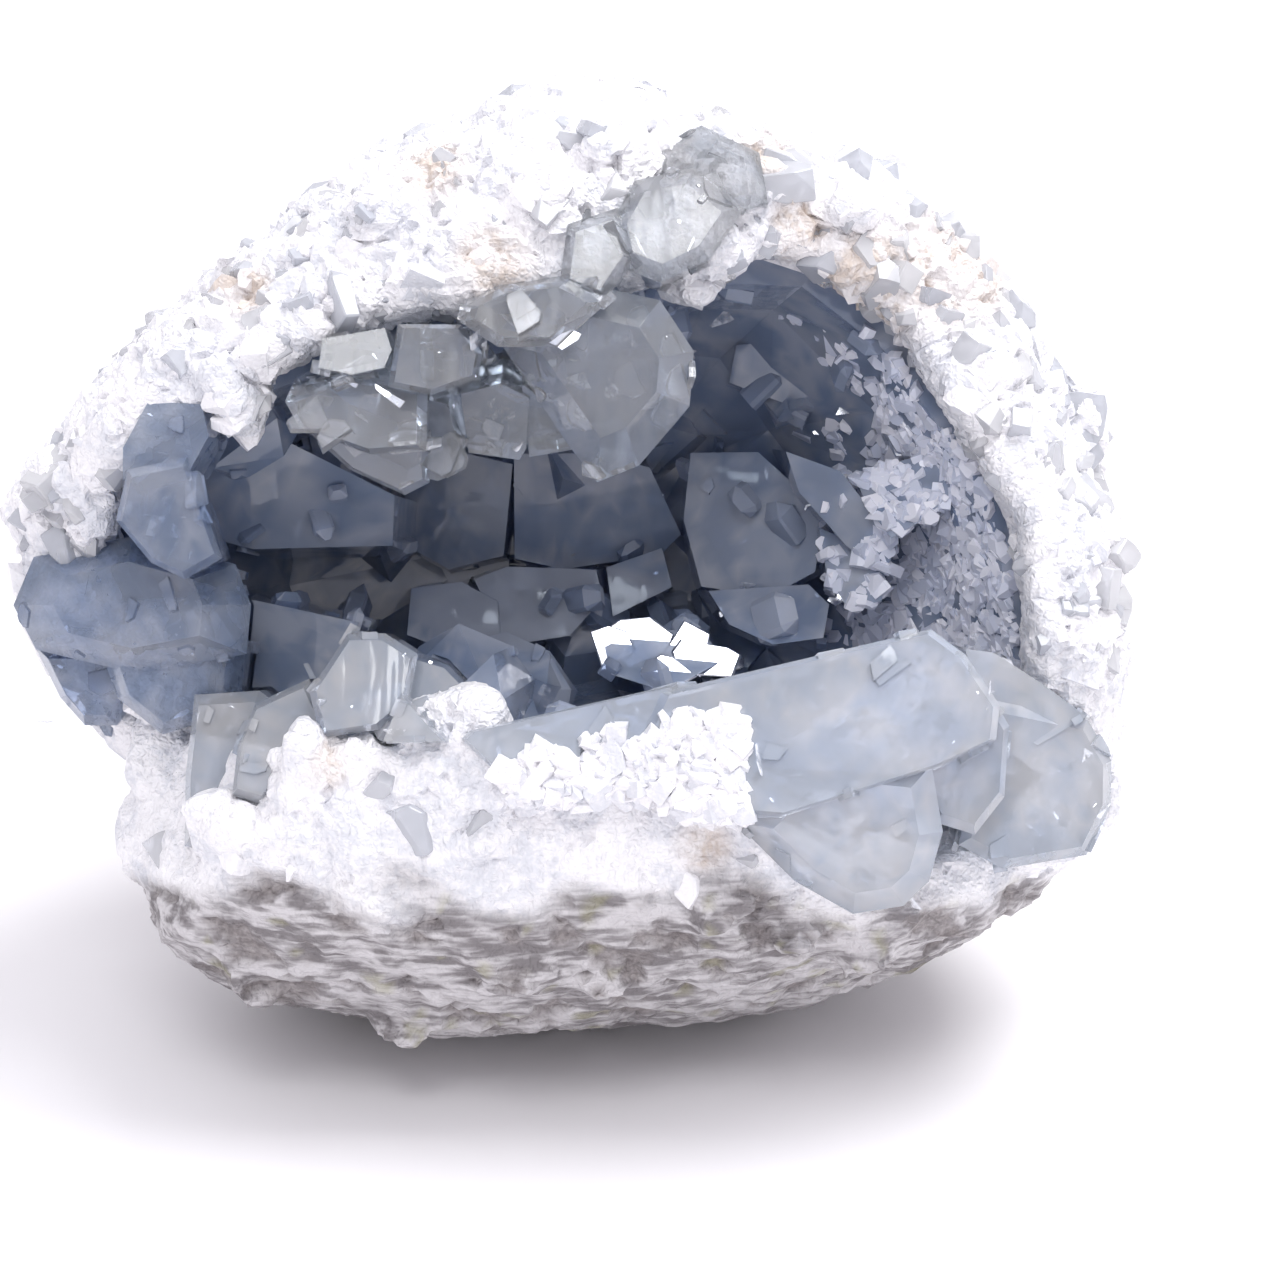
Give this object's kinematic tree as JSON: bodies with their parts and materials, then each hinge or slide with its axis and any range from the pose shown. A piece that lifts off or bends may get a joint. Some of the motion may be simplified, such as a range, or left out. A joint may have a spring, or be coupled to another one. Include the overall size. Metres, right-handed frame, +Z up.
{
  "type": "celestite geode",
  "caption": "Half of a broken hollow nodule with a thick white rim, lined with pale blue flat-faced crystals, standing on a small flat spot.",
  "frame": {"origin": "middle of the nodule's box, on the surface that it stands on", "axes": "+X to the right as one looks into the hollow, +Y away from the viewer, +Z up; the mouth faces -Y, 22 degrees up from level"},
  "size_m": [0.1406, 0.1048, 0.1211],
  "materials": {
    "pale_rock": "rough, sugary broken crystal round the mouth, foliated grey-beige skin outside",
    "celestite": "clear pale blue crystal with flat glossy faces and inner veils"
  },
  "bodies": {
    "root": {"geode_shell": "pale_rock", "crystal_crust": "celestite", "hanging_crystals": "celestite", "left_crystals": "celestite", "corner_crystals": "celestite", "lip_crystals": "celestite"}
  },
  "joints": []
}
